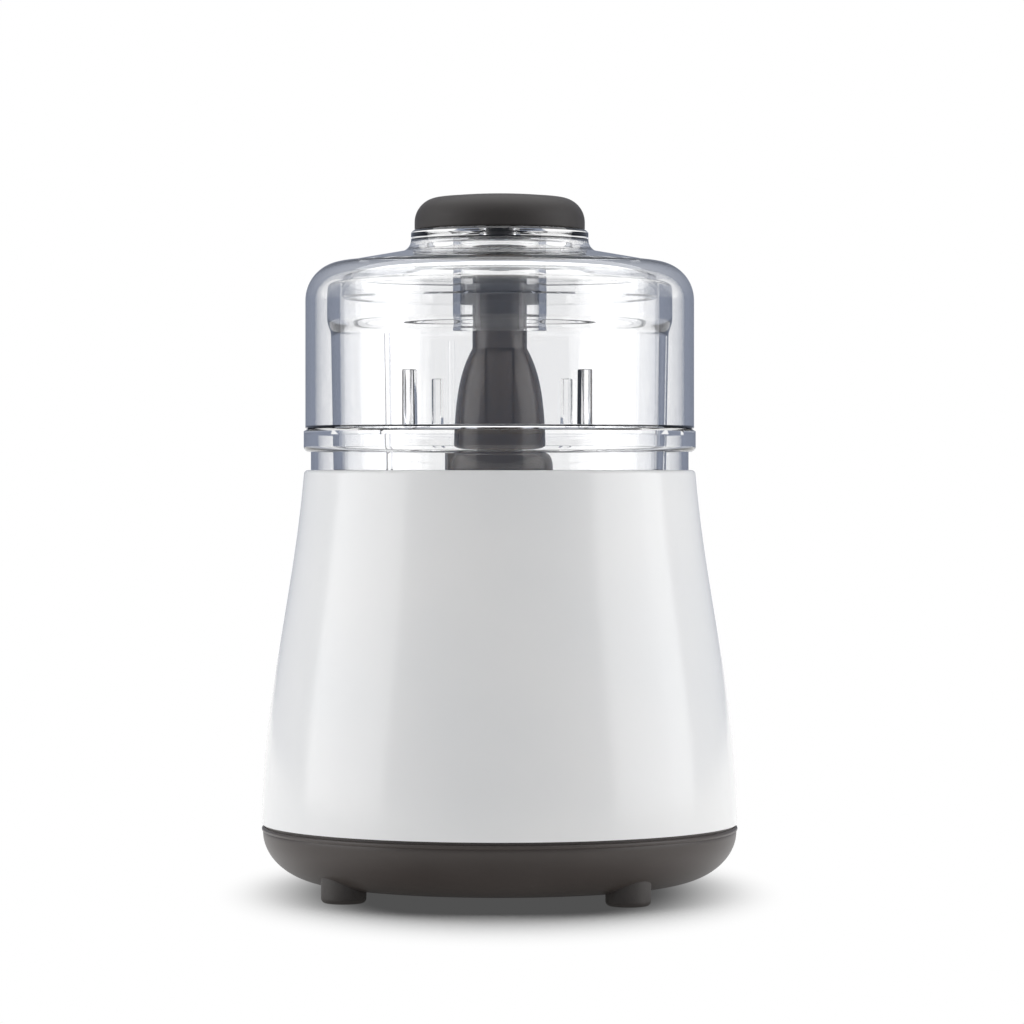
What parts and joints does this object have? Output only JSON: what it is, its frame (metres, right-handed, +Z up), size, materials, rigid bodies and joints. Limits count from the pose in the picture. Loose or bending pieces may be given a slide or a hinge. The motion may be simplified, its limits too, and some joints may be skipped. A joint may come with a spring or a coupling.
{
  "type": "food_chopper",
  "caption": "Electric food chopper: tapered motor base, clear bowl on a sprung seat, stacked blades on a tall hub, and a clear dome lid that is pressed down to run it.",
  "frame": {"origin": "middle of the underside of the feet, on the drive shaft's axis", "axes": "+Z up along the drive shaft, front of the housing towards -Y, cord inlet at the back towards +Y"},
  "size_m": [0.1724, 0.1724, 0.2525],
  "materials": {
    "white_gloss": "moulded, high gloss",
    "white_matte": "moulded, fine matte",
    "dark_gloss": "moulded, semi-gloss warm grey",
    "dark_matte": "moulded, matte warm grey",
    "grey_matte": "moulded, matte",
    "brown_plastic": "moulded thermoset",
    "ivory_matte": "moulded, matte",
    "red_matte": "moulded, matte",
    "carbon": "pressed carbon",
    "clear_plastic": "clear, polished",
    "rubber": "moulded, matte",
    "seal_rubber": "moulded, matte",
    "blade_steel": "ground stainless",
    "ground_steel": "ground",
    "screw_steel": "zinc plated",
    "lamination": "punched sheet stack",
    "enamelled_wire": "enamelled copper wire",
    "commutator_copper": "turned copper",
    "cast_alloy": "die cast"
  },
  "bodies": {
    "base": {"housing_shell": "white_gloss", "housing_mouth": "white_gloss", "housing_bosses": "white_matte", "base_pan": "dark_gloss", "feet": "rubber", "base_screws": "screw_steel", "well_deck": "white_matte", "deck_screws": "screw_steel", "cord_gland": "rubber", "motor_stator": "lamination", "field_coils": "enamelled_wire", "lower_bracket": "cast_alloy", "upper_bracket": "cast_alloy", "motor_bolts": "screw_steel", "motor_nuts": "screw_steel", "lower_bearing": "ground_steel", "upper_bearing": "ground_steel", "brush_holders": "brown_plastic", "carbon_brushes": "carbon", "brush_springs": "ground_steel", "motor_dampers": "rubber", "damper_screws": "screw_steel", "shaft_seal": "seal_rubber", "press_springs": "ground_steel", "spring_caps": "grey_matte", "micro_switch": "dark_matte", "switch_screws": "screw_steel", "lever_pin": "ground_steel", "terminal_block": "ivory_matte", "suppressor": "ivory_matte", "suppressor_strap": "screw_steel", "pan_screws": "screw_steel"},
    "drive": {"motor_shaft": "ground_steel", "armature_core": "lamination", "armature_windings": "enamelled_wire", "commutator": "commutator_copper", "cooling_fan": "dark_matte", "drive_dog": "dark_matte"},
    "seat": {"press_ring": "white_matte", "press_collars": "grey_matte"},
    "lever": {"switch_lever": "ground_steel"},
    "button": {"switch_button": "red_matte"},
    "bowl": {"bowl": "clear_plastic", "bowl_post": "clear_plastic", "bowl_flange": "clear_plastic", "bowl_ribs": "clear_plastic"},
    "blade": {"blade_hub": "dark_gloss", "hub_neck": "dark_gloss", "drive_socket": "ground_steel", "upper_blade": "blade_steel", "lower_blade": "blade_steel", "blade_spacer": "dark_gloss", "blade_clamp_ring": "dark_gloss", "blade_screws": "screw_steel"},
    "lid": {"lid_dome": "clear_plastic", "lid_collar": "clear_plastic", "lid_plug": "clear_plastic", "lid_knob": "dark_matte", "knob_retainer": "dark_matte", "knob_screw": "screw_steel"}
  },
  "joints": [
    {"name": "drive_spin", "type": "hinge", "parent": "base", "child": "drive", "pos_m": [0, 0, 0.05], "axis": [0, 0, 1], "continuous": true},
    {"name": "lid_press", "type": "slide", "parent": "base", "child": "seat", "axis": [0, 0, -1], "range_m": [0, 0.004], "stiffness_N_per_m": 3000, "springref_m": -0.0045, "deforming": ["press_springs"]},
    {"name": "bowl_lift", "type": "slide", "parent": "seat", "child": "bowl", "axis": [0, 0, 1], "range_m": [0, 0.1]},
    {"name": "blade_spin", "type": "hinge", "parent": "bowl", "child": "blade", "pos_m": [0, 0, 0.16], "axis": [0, 0, 1], "continuous": true},
    {"name": "lid_lift", "type": "slide", "parent": "bowl", "child": "lid", "axis": [0, 0, 1], "range_m": [0, 0.1]},
    {"name": "lever_swing", "type": "hinge", "parent": "base", "child": "lever", "pos_m": [-0.012, 0.055, 0.06247], "axis": [0, 1, 0], "range_deg": [0, 18.44]},
    {"name": "button_press", "type": "slide", "parent": "base", "child": "button", "axis": [0, 0, -1], "range_m": [0, 0.00107]}
  ],
  "couplings": [
    {"joint": "blade_spin", "follows": "drive_spin", "ratio": 1},
    {"joint": "lever_swing", "follows": "lid_press", "rad_per_m": 80.43},
    {"joint": "button_press", "follows": "lid_press", "ratio": 0.2682}
  ]
}
